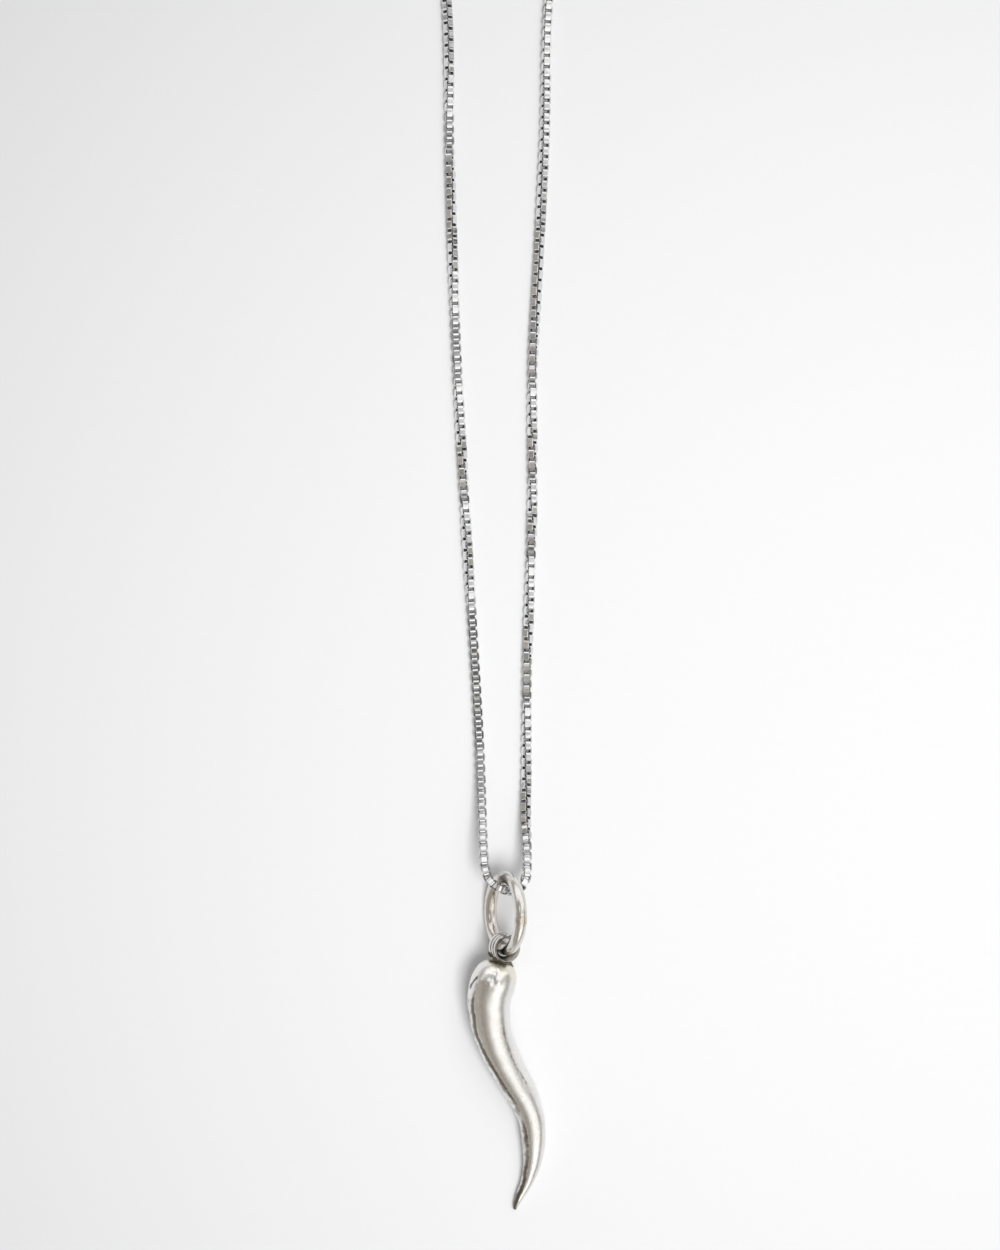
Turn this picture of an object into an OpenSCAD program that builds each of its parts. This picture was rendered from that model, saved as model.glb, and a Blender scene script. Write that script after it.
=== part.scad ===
// A horn-shaped silver pendant on a fine box chain, lying flat on a table.
// The horn points along -Y, the neck loop runs along +Y and the table is z = 0, in millimetres.
// The origin is on the table, under the middle of the whole necklace.

/* [Horn] */
// Length from the top of the cap to the tip
horn_len = 27.3; // [22:0.1:34]
// Largest diameter, at the shoulder under the cap
horn_d = 4.9; // [4:0.1:6.5]
// Sideways distance between the two bends of the S
horn_sway = 4.8; // [3:0.05:7]
// Angle by which the jump ring holds the cap end off the table
horn_tilt = 7.2; // [4:0.1:9]

/* [Eye] */
// How much wider the eye's hole is than the jump ring's wire
eye_play = 0.55; // [0.4:0.05:1.2]
// Gap between the wire and the side of the hole next to the cap
eye_rest = 0.12; // [0.08:0.02:0.2]
// Thickness of the eye's wall
eye_wall = 0.6; // [0.4:0.05:0.65]
// Width of the eye's band, along its hole
eye_width = 1.7; // [1:0.05:2]
// Turn of the eye's hole towards the jump ring
eye_turn = 27; // [20:1:30]
// Depth of the eye's seat in the cap
eye_seat = 0.05; // [0.05:0.05:0.4]
// Diameter of the solder neck under the eye
neck_d = 1.6; // [1:0.1:2]
// Depth of the solder neck in the cap
neck_depth = 0.8; // [0.5:0.1:1.5]

/* [Jump ring] */
// Outer diameter of the jump ring
ring_d = 9.05; // [8:0.05:12]
// Wire diameter of the jump ring
ring_wire = 1.35; // [1:0.05:1.45]
// Angle between the jump ring's plane and the table
ring_lean = 65; // [55:1:70]

/* [Chain] */
// Width of the box chain across its flats
chain_w = 1; // [0.8:0.05:1.2]
// Bevel along the corners of the box chain
chain_bevel = 0.2; // [0.1:0.05:0.3]
// Room between the chain and the inside of the jump ring
chain_room = 0.2; // [0.05:0.05:0.5]

/* [Clasp] */
// Outer diameter of the spring ring
clasp_d = 6; // [5:0.1:8]
// Wire diameter of the spring ring
clasp_wire = 1.2; // [1:0.05:1.5]
// Diameter of the spring ring's thumb knob
knob_d = 0.8; // [0.5:0.05:1]
// Height of the thumb knob above the wire
knob_h = 0.6; // [0.3:0.05:1]
// Direction of the thumb knob, turned from +X
knob_turn = 55; // [30:5:150]
// Gap between each end of the chain and its barrel
end_gap = 0.1; // [0.05:0.05:0.3]

/* [Hidden] */
$fn = 64;
// Sides of the horn's round section
horn_sides = 24;
// Steps from one row of the horn's table to the next, and from one point of the route to the next
horn_steps = 2;
route_steps = 2;

// The horn's sections: distance from the top of the cap as a share of horn_len,
// place across as a share of horn_sway, and diameter as a share of horn_d
horn_table = [
    // along, across, girth
    [0.000, 0.343, 0.10],
    [0.004, 0.342, 0.31],
    [0.012, 0.325, 0.50],
    [0.028, 0.278, 0.76],
    [0.046, 0.217, 0.90],
    [0.068, 0.140, 0.98],
    [0.100, 0.062, 1.00],
    [0.130, 0.019, 0.98],
    [0.160, 0.000, 0.96],
    [0.200, 0.008, 0.91],
    [0.240, 0.026, 0.88],
    [0.320, 0.129, 0.80],
    [0.400, 0.309, 0.74],
    [0.480, 0.543, 0.68],
    [0.560, 0.798, 0.63],
    [0.640, 0.958, 0.57],
    [0.720, 0.997, 0.53],
    [0.800, 0.973, 0.42],
    [0.880, 0.864, 0.29],
    [0.960, 0.650, 0.17],
    [0.985, 0.595, 0.11],
    [1.000, 0.577, 0.03],
];

// The chain's route from the clasp's left barrel, down through the jump ring and back up to the
// right barrel: x, y and the rise above lying flat on the table
route = [
    [-4.6, 119.5, 0], [-12.8, 116.2, 0], [-19.2, 109, 0], [-22, 100, 0], [-21.4, 84, 0],
    [-17.2, 62, 0], [-11.6, 40, 0], [-7.6, 22, 0], [-5.8, 8, 0], [-5.4, -10, 0],
    [-4.7, -30, 0], [-3.6, -50, 0], [-2.35, -70, 0], [-2.05, -76.5, 0.5], [-1.9, -81, 1.6],
    [-1.75, -84.2, 2.75], [-1.55, -86.1, 3.5], [-1.1, -87.25, 3.9], [-0.3, -87.95, 4.1], [0.65, -88.35, 3.8],
    [1.6, -88.35, 3.4], [2.4, -87.85, 3.05], [2.8, -87.05, 2.7], [2.9, -85.5, 2.2], [2.8, -81.5, 0.9],
    [2.85, -76, 0], [2.95, -65, 0], [3.5, -47, 0], [3.55, -32, 0], [4.2, -20, 0],
    [4.8, -8, 0], [5.3, 8, 0], [7.2, 22, 0], [11.4, 40, 0], [17.2, 62, 0],
    [21.4, 84, 0], [22, 100, 0], [19.2, 109, 0], [12.8, 116.2, 0], [4.6, 119.5, 0],
];
// Number of the route's point where the chain crosses the plane of the jump ring
crossing = 19;
// Heading of the chain at both of its ends, straight out of and into the clasp
end_heading = [-1, 0, 0];

// Smooth curve through points at uneven gaps: the slope at a point leans towards its nearer neighbour
function gap_after(points, i) = norm(points[i + 1] - points[i]);
function slope_at(points, i, first, last) =
    i == 0 ? first
    : i == len(points) - 1 ? last
    : let(a = gap_after(points, i - 1), b = gap_after(points, i))
      (b / a * (points[i] - points[i - 1]) + a / b * (points[i + 1] - points[i])) / (a + b);
function between(points, i, t, first, last) =
    let(
        gap = gap_after(points, i),
        before = slope_at(points, i, first, last),
        after = slope_at(points, i + 1, first, last)
    )
    (2 * t ^ 3 - 3 * t ^ 2 + 1) * points[i] + (t ^ 3 - 2 * t ^ 2 + t) * gap * before
    + (3 * t ^ 2 - 2 * t ^ 3) * points[i + 1] + (t ^ 3 - t ^ 2) * gap * after;
function smooth(points, steps, first, last) = [
    for (i = [0 : len(points) - 2], k = [0 : steps - 1]) between(points, i, k / steps, first, last),
    points[len(points) - 1]
];
function unit(v) = v / norm(v);
function heading_at(points, i) = unit(points[min(i + 1, len(points) - 1)] - points[max(i - 1, 0)]);

// The horn in its own frame: the top of the cap at the origin, the axis level and the tip towards -Y.
// Each section is x, y and radius.
horn_rows = [
    for (row = horn_table)
        [(row[1] - horn_table[0][1]) * horn_sway, -row[0] * horn_len, row[2] * horn_d / 2]
];
dome_start = [0, 0, 1];
tip_end = [0, 0, -1];
horn_sections = smooth(horn_rows, horn_steps, dome_start, tip_end);
horn_axis = [for (s = horn_sections) [s[0], s[1], 0]];
horn_rings = [
    for (i = [0 : len(horn_axis) - 1])
        let(heading = heading_at(horn_axis, i), across = [heading[1], -heading[0], 0], r = horn_sections[i][2])
        [
            for (k = [0 : horn_sides - 1])
                let(a = 360 * k / horn_sides) horn_axis[i] + r * (cos(a) * across + sin(a) * [0, 0, 1])
        ]
];
// Height of the cap's top at which the tilted horn just touches the table
horn_z = max([for (s = horn_sections) s[2] * cos(horn_tilt) - s[1] * sin(horn_tilt)]);
// Middle radius of the eye's wall, around the hole that the jump ring's wire passes through
eye_hole = ring_wire + eye_play;
eye_r = (eye_hole + eye_wall) / 2;
// The eye's centre, and the middle of the wire inside it, from the top of the cap
eye_reach = eye_r + eye_wall / 2 - eye_seat;
wire_reach = eye_reach - eye_play / 2 + eye_rest;

// The chain's centreline, kept from dipping into the table
function laid(point) = [point[0], point[1], max(point[2], chain_w / 2)];
route_points = [for (p = route) [p[0], p[1], p[2] + chain_w / 2]];
chain_line = [for (p = smooth(route_points, route_steps, end_heading, end_heading)) laid(p)];
chain_flat = chain_w / 2 - chain_bevel;
chain_section = [
    for (side = [0 : 3], end = [-1, 1])
        let(a = 90 * side, u = chain_w / 2, v = end * chain_flat)
        [u * cos(a) - v * sin(a), u * sin(a) + v * cos(a)]
];
last_ring = len(chain_line) - 1;
chain_rings = [
    for (i = [0 : last_ring])
        let(
            heading = i == 0 || i == last_ring ? end_heading : heading_at(chain_line, i),
            across = unit(cross(heading, [0, 0, 1])),
            up = cross(across, heading)
        )
        [for (c = chain_section) chain_line[i] + c[0] * across + c[1] * up]
];

// The jump ring leans on the table, and hangs from the chain where the chain crosses its plane
ring_r = (ring_d - ring_wire) / 2;
ring_z = ring_wire / 2 + ring_r * sin(ring_lean);
cross_r = ring_r - ring_wire / 2 - chain_room - chain_w / 2;
cross_point = route_points[crossing];
cross_angle = asin((cross_point[2] - ring_z) / (cross_r * sin(ring_lean)));
ring_x = cross_point[0] - cross_r * sin(cross_angle) * cos(ring_lean);
ring_y = cross_point[1] - cross_r * cos(cross_angle);

// The eye sits around the jump ring's wire, where that wire has the height that the tilt gives
wire_z = horn_z + wire_reach * sin(horn_tilt);
pass_angle = asin((ring_z - wire_z) / (ring_r * sin(ring_lean)));
horn_x = ring_x - ring_r * sin(pass_angle) * cos(ring_lean);
horn_y = ring_y - ring_r * cos(pass_angle) - wire_reach * cos(horn_tilt);

// The clasp lies between the two ends of the chain
clasp_y = route[0][1];
clasp_r = (clasp_d - clasp_wire) / 2;
barrel_end = abs(route[0][0]) - end_gap;

// Skin of triangles over rings of points, closed flat at each end
module skin(rings) {
    count = len(rings[0]);
    last = len(rings) - 1;
    sides = [
        for (i = [0 : last - 1], k = [0 : count - 1])
            let(a = i * count, b = a + count, m = (k + 1) % count)
            each [[a + k, b + m, b + k], [a + k, a + m, b + m]]
    ];
    start = [for (k = [1 : count - 2]) [0, k + 1, k]];
    end = [for (k = [1 : count - 2]) [0, k, k + 1] + last * count * [1, 1, 1]];
    polyhedron([for (ring = rings) each ring], concat(sides, start, end));
}

// Round band of the eye, with a half-round edge on each side
module eye_band() {
    straight = eye_width - eye_wall;
    rotate_extrude() translate([eye_r, 0]) {
        square([eye_wall, straight], center = true);
        for (side = [-1, 1]) translate([0, side * straight / 2]) circle(d = eye_wall);
    }
}

// Solder neck between the cap and the eye's band
module neck() {
    neck_top = eye_wall / 2 - eye_seat;
    translate([0, neck_top, 0]) rotate([90, 0, 0]) cylinder(d = neck_d, h = neck_top + neck_depth);
}

// Cast horn with its soldered eye
module horn() {
    color([0.78, 0.76, 0.72])
        translate([horn_x, horn_y, horn_z])
            rotate([horn_tilt, 0, 0]) {
                skin(horn_rings);
                neck();
                translate([0, eye_reach, 0]) rotate([0, eye_turn, 0]) eye_band();
            }
}

// Closed ring that carries the horn on the chain
module jump_ring() {
    color([0.8, 0.78, 0.75])
        translate([ring_x, ring_y, ring_z])
            rotate([0, -ring_lean, 0])
                rotate_extrude() translate([ring_r, 0]) circle(d = ring_wire);
}

// Box chain along its whole route
module chain() {
    color([0.75, 0.75, 0.77]) skin(chain_rings);
}

// Spring ring with its thumb knob and the barrel that holds each end of the chain
module clasp() {
    color([0.72, 0.72, 0.74])
        translate([0, clasp_y, 0]) {
            translate([0, 0, clasp_wire / 2]) {
                rotate_extrude() translate([clasp_r, 0]) circle(d = clasp_wire);
                rotate([0, 0, knob_turn])
                    translate([clasp_r, 0, 0])
                        rotate([0, 90, 0]) cylinder(d = knob_d, h = clasp_wire / 2 + knob_h);
            }
            for (side = [-90, 90])
                translate([0, 0, chain_w / 2])
                    rotate([0, side, 0])
                        translate([0, 0, clasp_r]) cylinder(d = chain_w, h = barrel_end - clasp_r);
        }
}

horn();
jump_ring();
chain();
clasp();
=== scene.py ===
import math
import random

import bpy
from mathutils import Matrix, Vector, noise


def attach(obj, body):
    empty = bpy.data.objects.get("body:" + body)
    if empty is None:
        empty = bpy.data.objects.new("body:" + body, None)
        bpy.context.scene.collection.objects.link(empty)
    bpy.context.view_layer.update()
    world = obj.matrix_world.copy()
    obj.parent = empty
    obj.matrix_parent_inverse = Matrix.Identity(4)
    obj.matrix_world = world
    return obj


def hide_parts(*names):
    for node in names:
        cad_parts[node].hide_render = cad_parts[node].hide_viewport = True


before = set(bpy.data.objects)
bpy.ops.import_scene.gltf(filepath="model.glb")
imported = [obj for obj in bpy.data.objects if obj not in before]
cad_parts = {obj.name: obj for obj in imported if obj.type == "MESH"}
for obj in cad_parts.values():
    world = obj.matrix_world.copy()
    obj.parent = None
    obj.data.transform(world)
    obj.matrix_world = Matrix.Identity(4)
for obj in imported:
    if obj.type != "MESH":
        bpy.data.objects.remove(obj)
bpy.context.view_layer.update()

# A silver horn pendant on a box chain, laid on pale paper and seen from straight above.
# Lengths below are in millimetres in the CAD's frame, and MM turns them into metres.
MM = 0.001
rng = random.Random(11)
# Which way a seed moves smooth noise, in x, y and z
NOISE_SHIFT = (1, -1, 2.5)
UP = Vector((0, 0, 1))

# The photo's frame
PHOTO_CENTRE = (0, -60)
PHOTO_HEIGHT = 135
CAMERA_RISE = 450
SENSOR = 36

# The paper: its two mixed colours, the middle of its painted light, and its reach in metres across and up
PAPER = ((0.93, 0.93, 0.935), (0.95, 0.95, 0.955))
PAPER_MIDDLE = (50, -68)
PAPER_FADE = (0.173, 0.171)
# How its painted shade darkens it with the distance from there, squared and scaled
PAPER_SCALE = 0.25
PAPER_SHADE = [(0, 1.0), (0.15, 0.76), (0.25, 0.66), (0.4, 0.6), (1, 0.55)]
# Its fibres: fineness, octaves and roughness of their noise, and how strong and how deep they stand
PAPER_FIBRE = (900, 4, 0.6)
PAPER_BUMP = 0.15
PAPER_GRAIN = 0.02
PAPER_ROUGH = 0.9
PAPER_SHINE = 0.1
# Half the floor's side, in metres
FLOOR_HALF = 3

# Lights: name, place in metres, width and length, power and colour
SOFT_LIGHTS = [
    ("ceiling_light", (0.31, -0.5, 1.45), (0.62, 0.7), 15.7, (1.0, 1.0, 0.995)),
]

# How far the sky's tables may reach to each side, in degrees
SKY_SPAN = 120
# The sky that the metal mirrors: its colour across the picture, at each angle from straight up to the right
SKY_ACROSS = [
    (-92, (0.30, 0.28, 0.25)), (-80, (0.42, 0.39, 0.35)), (-73, (0.50, 0.47, 0.42)),
    (-60, (0.52, 0.48, 0.43)), (-50, (0.34, 0.31, 0.27)), (-35, (0.34, 0.32, 0.29)),
    (-24, (0.49, 0.455, 0.42)), (-13, (0.54, 0.505, 0.46)), (-7, (0.63, 0.60, 0.56)),
    (-1, (0.90, 0.88, 0.84)), (5, (1.2, 1.19, 1.16)), (44, (1.32, 1.31, 1.28)),
    (52, (1.08, 1.06, 1.03)), (60, (0.62, 0.60, 0.56)), (70, (0.46, 0.44, 0.40)),
    (84, (0.48, 0.46, 0.42)), (92, (0.28, 0.27, 0.24)),
]
# Patches laid over it: colour, weight at each angle up the picture, weight at each angle across it
SKY_PATCHES = [
    ((0.90, 0.90, 0.91), [(-7, 0), (-4, 1), (10, 1), (14, 0)], [(-3, 0), (2, 1), (11, 1), (14, 0)]),
    ((0.74, 0.74, 0.75), [(-7, 0), (-4, 1), (10, 1), (14, 0)], [(24, 0), (28, 1), (58, 1), (64, 0)]),
    ((0.15, 0.145, 0.14), [(-6.5, 0), (-4, 1), (6, 1), (9, 0)], [(-12, 0), (-9, 1), (3, 1), (6, 0)]),
    ((0.36, 0.355, 0.345), [(4, 0), (9, 0.9), (28, 0.9), (33, 0)], [(-70, 0), (-55, 1), (10, 1), (24, 0)]),
    ((1.1, 1.1, 1.11), [(5, 0), (9, 1), (17, 1), (21, 0)], [(-32, 0), (-26, 1), (-10, 1), (-5, 0)]),
    ((1.25, 1.25, 1.27), [(32, 0), (37, 1), (85, 1), (95, 0)], [(-70, 0), (-58, 1), (76, 1), (90, 0)]),
    ((1.25, 1.24, 1.2), [(-54, 0), (-48, 1), (-20, 1), (-16, 0)], [(46, 0), (50, 1), (63, 1), (67, 0)]),
    ((1.7, 1.7, 1.68), [(-66, 0), (-62, 1), (-44, 1), (-38, 0)], [(-8, 0), (0, 1), (35, 1), (45, 0)]),
]
# What lies low all round: its colour, its weight at each height, and its weight at each angle across
SKY_LOW = (0.26, 0.245, 0.22)
SKY_LOW_UP = [(0.0, 1.0), (0.05, 0.8), (0.22, 0.0)]
SKY_LOW_ACROSS = [(-70, 0), (-50, 1), (50, 1), (70, 0)]
# What lights the paper: the same room without details. The camera sees a plain one behind everything.
SKY_SOFT = [
    (-90, (0.3, 0.3, 0.302)), (-15, (0.3, 0.3, 0.302)), (0, (0.4, 0.4, 0.405)), (12, (0.8, 0.8, 0.815)),
    (28, (1.0, 1.0, 1.015)), (40, (0.6, 0.6, 0.61)), (60, (0.3, 0.3, 0.305)), (90, (0.2, 0.2, 0.2)),
]
SKY_BEHIND = (0.9, 0.9, 0.91)

# The horn, as in the CAD
HORN_LEN = 27.3
HORN_D = 4.9
HORN_SWAY = 4.8
HORN_TILT = 7.2
HORN_TABLE = [  # along, across, girth
    (0.000, 0.343, 0.10), (0.004, 0.342, 0.31), (0.012, 0.325, 0.50), (0.028, 0.278, 0.76),
    (0.046, 0.217, 0.90), (0.068, 0.140, 0.98), (0.100, 0.062, 1.00), (0.130, 0.019, 0.98),
    (0.160, 0.000, 0.96), (0.200, 0.008, 0.91), (0.240, 0.026, 0.88), (0.320, 0.129, 0.80),
    (0.400, 0.309, 0.74), (0.480, 0.543, 0.68), (0.560, 0.798, 0.63), (0.640, 0.958, 0.57),
    (0.720, 0.997, 0.53), (0.800, 0.973, 0.42), (0.880, 0.864, 0.29), (0.960, 0.650, 0.17),
    (0.985, 0.595, 0.11), (1.000, 0.577, 0.03),
]
HORN_SIDES = 192
HORN_STEPS = 24
HORN_SPACING = 0.09

# Dents and lumps on the upper side of the cap and body, in the horn's own frame:
# x, y, how far they reach in x and in y, and how deep they go (a lump is below zero)
HORN_DENTS = [
    (-0.8, -0.8, 0.2, 0.45, 0.07), (-1.1, -1.55, 0.15, 0.35, 0.06), (-1.6, -1.85, 0.3, 0.34, -0.14),
    (-0.62, -1.75, 0.34, 0.36, -0.14), (-2.55, -1.75, 0.3, 0.3, -0.06), (0.45, -0.85, 0.5, 0.32, -0.09),
    (-1.0, -2.7, 0.35, 0.4, -0.04), (0.95, -2.3, 0.35, 0.5, 0.03),
    (-2.3, -7.3, 0.12, 0.22, 0.03), (3.05, -11.7, 0.14, 0.3, 0.03), (3.6, -12.2, 0.1, 0.25, -0.02),
    (4.9, -16.3, 0.35, 0.14, 0.03), (0.1, -5.2, 0.3, 0.5, 0.012), (2.2, -19.5, 0.3, 0.5, 0.012),
]
# Painted shade on the cap, dark spots in and beside its dents: x, y, how far they reach in x and in y, and
# how dark they are
HORN_DARK_SPOTS = [
    (-0.82, -0.9, 0.2, 0.6, 0.6), (-1.1, -1.55, 0.13, 0.4, 0.5), (-1.9, -1.35, 0.4, 0.12, 0.2),
    (0.35, -1.7, 0.4, 0.4, 0.35), (-1.3, -2.55, 0.35, 0.3, 0.3), (-0.1, -0.1, 0.5, 0.35, 0.5),
]
# Painted dark reflections, lines along the horn's sides: place along it, angle from the top towards the left
# or the right, and how dark it is there
DARK_REFLECTION_LEFT = [
    (-27.0, 16, 0.8), (-25.0, 22, 0.75), (-23.2, 42, 0.8), (-21.8, 34, 0.5), (-20.0, 31, 0.5),
    (-18.3, 38, 0.6), (-16.6, 31, 0.15), (-14.0, 35, 0.55), (-11.5, 37, 0.75), (-9.3, 45, 0.8),
    (-7.5, 50, 0.85), (-5.3, 48, 0.85), (-3.5, 46, 0.4), (-2.6, 44, 0.3), (-1.8, 44, 0.0),
]
DARK_REFLECTION_RIGHT = [
    (-16.5, 38, 0.0), (-15.0, 40, 0.3), (-13.4, 48, 0.45), (-11.5, 40, 0.45), (-9.3, 41, 0.4),
    (-7.2, 40, 0.4), (-5.0, 42, 0.2), (-3.0, 40, 0.0),
]
# How wide the lines are, the share of that left where the horn is thin, and how strong and mottled they are.
# A mottle is the share by which something varies, how fine that is, and a seed.
DARK_REFLECTION_WIDE = 0.25
DARK_REFLECTION_THIN = 0.6
DARK_REFLECTION_STRENGTH = 1.25
DARK_REFLECTION_MOTTLE = (0.45, 3.2, 6.6)
DARK_SPOT_MOTTLE = (0.5, 4.0, 1.3)
# Painted dark reflection on the left side below its line: how dark, from where along the horn, over what
# width
LIMB_DARK = 0.46
LIMB_FROM = -3.2
LIMB_SOFT = 0.3
LIMB_MOTTLE = (0.4, 1.7, 5.1)
# Darker towards the tip, and from where; patina and painted shade round the eye, and how far they reach;
# painted shade underneath
TIP_DARK = 0.3
TIP_FROM = -24.5
CAP_DARK = 0.5
CAP_DARK_REACH = 0.7
UNDER_SHADE = 0.12
# The brown tint round the eye: how strong it starts, and over what length it fades by one
CAP_TINTED = 1.4
CAP_TINT = 1.1
# Small dings: how many, the least and most of their place along the horn, size and depth, and how far along
# the horn one is felt
DING_COUNT = 240
DING_PLACE = (0.03, 0.95)
DING_SIZE = (0.1, 0.28)
DING_DEPTH = (0.003, 0.014)
DING_NEAR = 0.6
# A thin casting burr on the left shoulder: its line, how wide and how high it is, and how dark its painted
# shade is
BURR = [(-2.95, -1.35), (-3.3, -1.75), (-3.62, -2.3), (-3.78, -2.8)]
BURR_STEPS = 5
BURR_WIDE = 0.1
BURR_HIGH = 0.09
BURR_DARK = 0.52
# Shallow waves all over the horn: their height, then the share, fineness and seed of each set
WAVINESS = 0.012
WAVES = [(1, 0.8, 3.7), (0.35, 2.6, 9.1)]
# Dents and stains lie on the upper side: how low it begins, and how fast they reach full depth
UPPER_FROM = -0.1
UPPER_RISE = 4
# Where a bell curve, exp(-x), is too faint to count
FAINT = 9

# The eye and its solder, as in the CAD
EYE_PLAY = 0.55
EYE_REST = 0.12
EYE_WALL = 0.6
EYE_WIDTH = 1.7
EYE_TURN = 27
EYE_SEAT = 0.05
EYE_TURNS = 144
# The beads turned round it: how many, how deep and sharp the grooves between them are, how dark a bead is,
# and how much darker a groove is and how sharply
EYE_BEADS = 3
BEAD_STEPS = 12
BEAD_DEPTH = 0.12
BEAD_SHARP = 1.5
BEAD_DARK = 0.12
GROOVE_DARK = 0.9
GROOVE_SHARP = 1.1
# Its rim, and how dark its painted shade is
EYE_RIM = 0.05
RIM_SHADE = 0.6
# Its inside: how it flares, its fine ribs, and its painted shade: how dark at its right and how much more at
# its left
EYE_STEPS = 36
EYE_FLARE = 1.5
RIB_HIGH = 0.015
RIB_CLOSE = 40
EYE_INSIDE_SHADE = (0.05, 1.05)
# How uneven it is, by a height, a fineness and a seed, and how mottled
EYE_UNEVEN = (0.014, 2.2, 5.3)
EYE_MOTTLE = (0.2, 2.6, 8.2)
# The collar of solder: its reach, the share of that at its narrow end and how it tapers to it, from where its
# end is rounded off, how its lumps lean, and how dark it is: patina, with painted shade between eye and cap
SOLDER_TURNS = 40
SOLDER_SIDES = 72
SOLDER_WIDE = 1.2
SOLDER_HIGH = 0.95
SOLDER_X = -0.25
SOLDER_NARROW = 0.8
SOLDER_TAPER = 1.4
SOLDER_ROUND = 0.75
SOLDER_DOWN = 0.6
SOLDER_UP = 0.38
SOLDER_LEAN = 0.3
SOLDER_LUMPS = [(0.09, 1.5, 1.9), (0.04, 4.5, 6.2)]
SOLDER_DARK = 0.72
# Splashes of solder beside the collar: middle, and reach in x, y and z
RESIDUES = [((-1.35, 0.78, -0.15), (0.42, 0.38, 0.5)), ((-0.8, 0.35, 0.3), (0.5, 0.35, 0.5))]
RESIDUE_STEPS = 16
RESIDUE_SIDES = 32
RESIDUE_UNEVEN = (0.06, 3.0, 2.8)
RESIDUE_DARK = 0.8

# The jump ring, as in the CAD
RING_D = 9.05
RING_WIRE = 1.35
RING_LEAN = 65
RING_TURNS = 240
RING_SIDES = 56
# How far its wire is worn down, how uneven it is, and its streaks: their height, how close they are round the
# wire and along it, and a seed
RING_WORN = 0.012
RING_UNEVEN = (0.012, 1.1, 4.4)
RING_STREAKS = (0.008, 3.5, 1.2, 8.8)
# Its soldered joint: angle round the ring, reach along the wire, lumps, how dark and how brown it is, and the
# line beside it: how far off, how wide and how deep
RING_JOINT = -8
JOINT_WIDE = 0.45
JOINT_UNEVEN = (0.03, 3.5, 7.7)
JOINT_DARK = 0.35
JOINT_TINT = 0.9
JOINT_LINE = (0.5, 0.09, 0.03)
# Painted shade on the ring in the eye and beside the chain: angle round the ring, reach along the wire, how
# dark
RING_EYE_AT = 260
RING_EYE_WIDE = 1.3
RING_EYE_DARK = 0.65
RING_CHAIN_AT = 78
RING_CHAIN_WIDE = 1.8
RING_CHAIN_DARK = 1.0
# The power of its fall: the higher, the sharper it ends
RING_GRIME_POWER = 4
# The share of that beside the chain at the wire's sides, and how much more on the ring's inside
RING_CHAIN_SIDES = 0.75
RING_CHAIN_INSIDE = 0.6
# Painted shade along the ring's inside: how dark, and from how far round the wire. Then a tint at its left.
RING_INNER_DARK = 1.2
RING_INNER_FROM = 0.75
RING_LEFT_TINT = 0.45

# The chain's route, as in the CAD: x, y and the rise above lying flat
CHAIN_W = 1
CHAIN_ROOM = 0.2
ROUTE = [
    (-4.6, 119.5, 0), (-12.8, 116.2, 0), (-19.2, 109, 0), (-22, 100, 0), (-21.4, 84, 0),
    (-17.2, 62, 0), (-11.6, 40, 0), (-7.6, 22, 0), (-5.8, 8, 0), (-5.4, -10, 0),
    (-4.7, -30, 0), (-3.6, -50, 0), (-2.35, -70, 0), (-2.05, -76.5, 0.5), (-1.9, -81, 1.6),
    (-1.75, -84.2, 2.75), (-1.55, -86.1, 3.5), (-1.1, -87.25, 3.9), (-0.3, -87.95, 4.1), (0.65, -88.35, 3.8),
    (1.6, -88.35, 3.4), (2.4, -87.85, 3.05), (2.8, -87.05, 2.7), (2.9, -85.5, 2.2), (2.8, -81.5, 0.9),
    (2.85, -76, 0), (2.95, -65, 0), (3.5, -47, 0), (3.55, -32, 0), (4.2, -20, 0),
    (4.8, -8, 0), (5.3, 8, 0), (7.2, 22, 0), (11.4, 40, 0), (17.2, 62, 0),
    (21.4, 84, 0), (22, 100, 0), (19.2, 109, 0), (12.8, 116.2, 0), (4.6, 119.5, 0),
]
CROSSING = 19
ROUTE_STEPS = 24

# One link of the box chain: a strip bent into a square loop
LINK_PITCH = 0.605
LINK_LONG = 1
LINK_STRIP = 0.6
LINK_THICK = 0.17
LINK_CORNER = 0.27
LINK_CORNER_STEPS = 3
LINK_BULGE = 0.007
LINK_BULGE_STEPS = 4
LINK_BEVEL = 0.03
LINK_HOLD = 0.02
# How far a link rolls and nods by chance, in degrees, and a slow sway: how far, how fine and a seed
LINK_ROLL = 1.8
LINK_NOD = 2.0
CHAIN_SWAY = 2.5
SWAY_FINE = 0.12
SWAY_SEED = (3.1, 0.7)
# A turn between two faces of a link that leaves a sharp edge, in degrees
LINK_CRISP = 35
# Below this y the links belong to the bight
BIGHT_FROM = -80
# How dark a link is by chance at most, the painted shade on its inner face and edges, how it darkens to the
# bight
LINK_TONE = 0.34
LINK_INNER_DARK = 1.0
LINK_EDGE_DARK = 0.22
BIGHT_DARK = 0.36
BIGHT_DARKENS = [(-70, 0), (-80, 0.7), (-85, 1)]
# Where the link's strip stands up, by the sine of its turn
LINK_UPRIGHT = 0.7

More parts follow.
